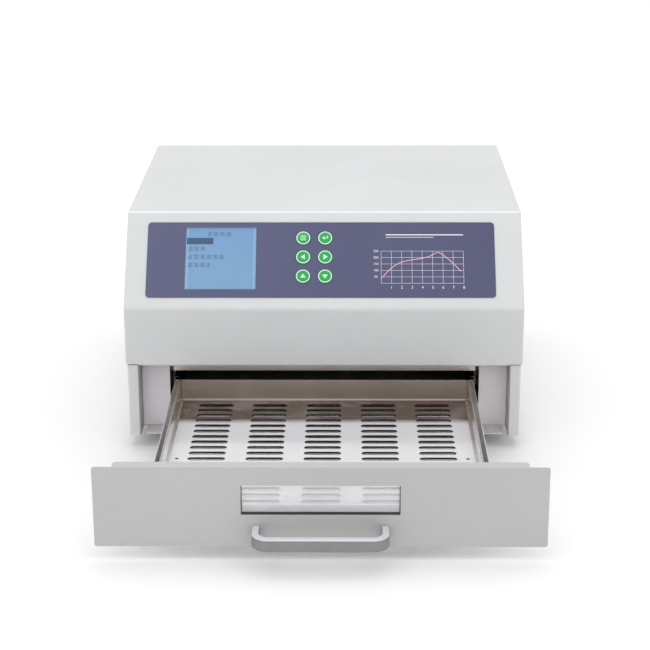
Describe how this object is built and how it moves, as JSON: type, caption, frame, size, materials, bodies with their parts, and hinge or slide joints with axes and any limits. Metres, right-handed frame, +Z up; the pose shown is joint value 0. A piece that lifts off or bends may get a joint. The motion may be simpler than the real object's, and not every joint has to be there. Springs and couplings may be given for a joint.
{
  "type": "reflow oven",
  "caption": "Bench-top reflow oven with a sloped control panel, a heated chamber and a slotted tray drawer that slides out at the front.",
  "frame": {"origin": "on the surface the oven stands on, in the middle of its outline with the drawer open", "axes": "+X to the right seen from the front, +Y to the back, so the drawer opens towards -Y, +Z up"},
  "size_m": [0.43, 0.7216, 0.25],
  "materials": {
    "case_paint": "warm grey-white textured powder coat",
    "frame_paint": "lavender-grey paint",
    "foot_rubber": "matt black",
    "liner_steel": "bright rolled, heat tinted",
    "tray_steel": "bright stainless, slightly heat tinted",
    "fan_steel": "rolled",
    "fibre_blanket": "ceramic fibre",
    "zinc_steel": "zinc plated",
    "quartz": "milky quartz",
    "ceramic": "unglazed",
    "dark_steel": "dark, heat stained",
    "black_plastic": "fine texture",
    "overlay_film": "printed polyester film",
    "display_glass": "blue monochrome display",
    "window_glass": "clear tempered",
    "circuit_board": "green solder mask",
    "cable_grey": "flat cable",
    "key_plastic": "green with a pale ring",
    "satin_aluminium": "satin anodised",
    "transformer_core": "varnished laminations"
  },
  "bodies": {
    "oven_body": {"base_plate": "frame_paint", "chamber_insulation": "fibre_blanket", "chamber_liner": "liner_steel", "chassis_side_left": "case_paint", "chassis_side_right": "case_paint", "circulation_motor": "dark_steel", "control_board": "circuit_board", "control_overlay": "overlay_film", "control_ribbon": "cable_grey", "display_module": "zinc_steel", "display_screen": "display_glass", "exhaust_fan_frame": "black_plastic", "exhaust_fan_guard": "zinc_steel", "floor_insulation": "fibre_blanket", "foot_front_left": "foot_rubber", "foot_front_right": "foot_rubber", "foot_rear_left": "foot_rubber", "foot_rear_right": "foot_rubber", "front_frame": "frame_paint", "fuse_holder": "black_plastic", "heat_shield": "zinc_steel", "heater_holder_left": "ceramic", "heater_holder_right": "ceramic", "heater_reflector": "liner_steel", "heater_tube_1": "quartz", "heater_tube_2": "quartz", "heater_tube_3": "quartz", "heater_tube_4": "quartz", "hood_cover": "case_paint", "mains_inlet": "black_plastic", "power_board": "circuit_board", "power_heatsink": "satin_aluminium", "power_switch_housing": "black_plastic", "rear_panel": "case_paint", "slide_fixed_left": "zinc_steel", "slide_fixed_right": "zinc_steel", "supply_transformer": "transformer_core", "temperature_probe_left": "dark_steel", "temperature_probe_right": "dark_steel"},
    "drawer": {"drawer_front": "case_paint", "window_pane": "window_glass", "window_retainer": "zinc_steel", "drawer_handle": "satin_aluminium", "solder_tray": "tray_steel", "handle_screw_left": "zinc_steel", "handle_screw_right": "zinc_steel", "slide_inner_left": "zinc_steel", "slide_inner_right": "zinc_steel"},
    "slide_middle_left": {"slide_middle_left": "zinc_steel"},
    "slide_middle_right": {"slide_middle_right": "zinc_steel"},
    "power_rocker": {"power_rocker": "black_plastic"},
    "circulation_impeller": {"circulation_impeller": "fan_steel"},
    "exhaust_fan_rotor": {"exhaust_fan_rotor": "black_plastic"},
    "key_menu": {"key_menu": "key_plastic"},
    "key_enter": {"key_enter": "key_plastic"},
    "key_left": {"key_left": "key_plastic"},
    "key_right": {"key_right": "key_plastic"},
    "key_up": {"key_up": "key_plastic"},
    "key_down": {"key_down": "key_plastic"}
  },
  "joints": [
    {"name": "drawer_slide", "type": "slide", "parent": "oven_body", "child": "drawer", "axis": [0, -1, 0], "range_m": [-0.278, 0]},
    {"name": "slide_middle_left_slide", "type": "slide", "parent": "oven_body", "child": "slide_middle_left", "axis": [0, -1, 0], "range_m": [-0.139, 0]},
    {"name": "slide_middle_right_slide", "type": "slide", "parent": "oven_body", "child": "slide_middle_right", "axis": [0, -1, 0], "range_m": [-0.139, 0]},
    {"name": "key_menu_press", "type": "slide", "parent": "oven_body", "child": "key_menu", "axis": [0, 0.7719, -0.6357], "range_m": [0, 0.0005], "stiffness_N_per_m": 400, "springref_m": -0.001},
    {"name": "key_enter_press", "type": "slide", "parent": "oven_body", "child": "key_enter", "axis": [0, 0.7719, -0.6357], "range_m": [0, 0.0005], "stiffness_N_per_m": 400, "springref_m": -0.001},
    {"name": "key_left_press", "type": "slide", "parent": "oven_body", "child": "key_left", "axis": [0, 0.7719, -0.6357], "range_m": [0, 0.0005], "stiffness_N_per_m": 400, "springref_m": -0.001},
    {"name": "key_right_press", "type": "slide", "parent": "oven_body", "child": "key_right", "axis": [0, 0.7719, -0.6357], "range_m": [0, 0.0005], "stiffness_N_per_m": 400, "springref_m": -0.001},
    {"name": "key_up_press", "type": "slide", "parent": "oven_body", "child": "key_up", "axis": [0, 0.7719, -0.6357], "range_m": [0, 0.0005], "stiffness_N_per_m": 400, "springref_m": -0.001},
    {"name": "key_down_press", "type": "slide", "parent": "oven_body", "child": "key_down", "axis": [0, 0.7719, -0.6357], "range_m": [0, 0.0005], "stiffness_N_per_m": 400, "springref_m": -0.001},
    {"name": "power_rocker_tilt", "type": "hinge", "parent": "oven_body", "child": "power_rocker", "pos_m": [-0.075, 0.3515, 0.063], "axis": [1, 0, 0], "range_deg": [-18, 0]},
    {"name": "circulation_fan_spin", "type": "hinge", "parent": "oven_body", "child": "circulation_impeller", "pos_m": [0, 0.2848, 0.098], "axis": [0, 1, 0], "continuous": true},
    {"name": "exhaust_fan_spin", "type": "hinge", "parent": "oven_body", "child": "exhaust_fan_rotor", "pos_m": [0.105, 0.3388, 0.175], "axis": [0, 1, 0], "continuous": true}
  ],
  "couplings": [
    {"joint": "slide_middle_left_slide", "follows": "drawer_slide", "ratio": 0.5},
    {"joint": "slide_middle_right_slide", "follows": "drawer_slide", "ratio": 0.5}
  ]
}
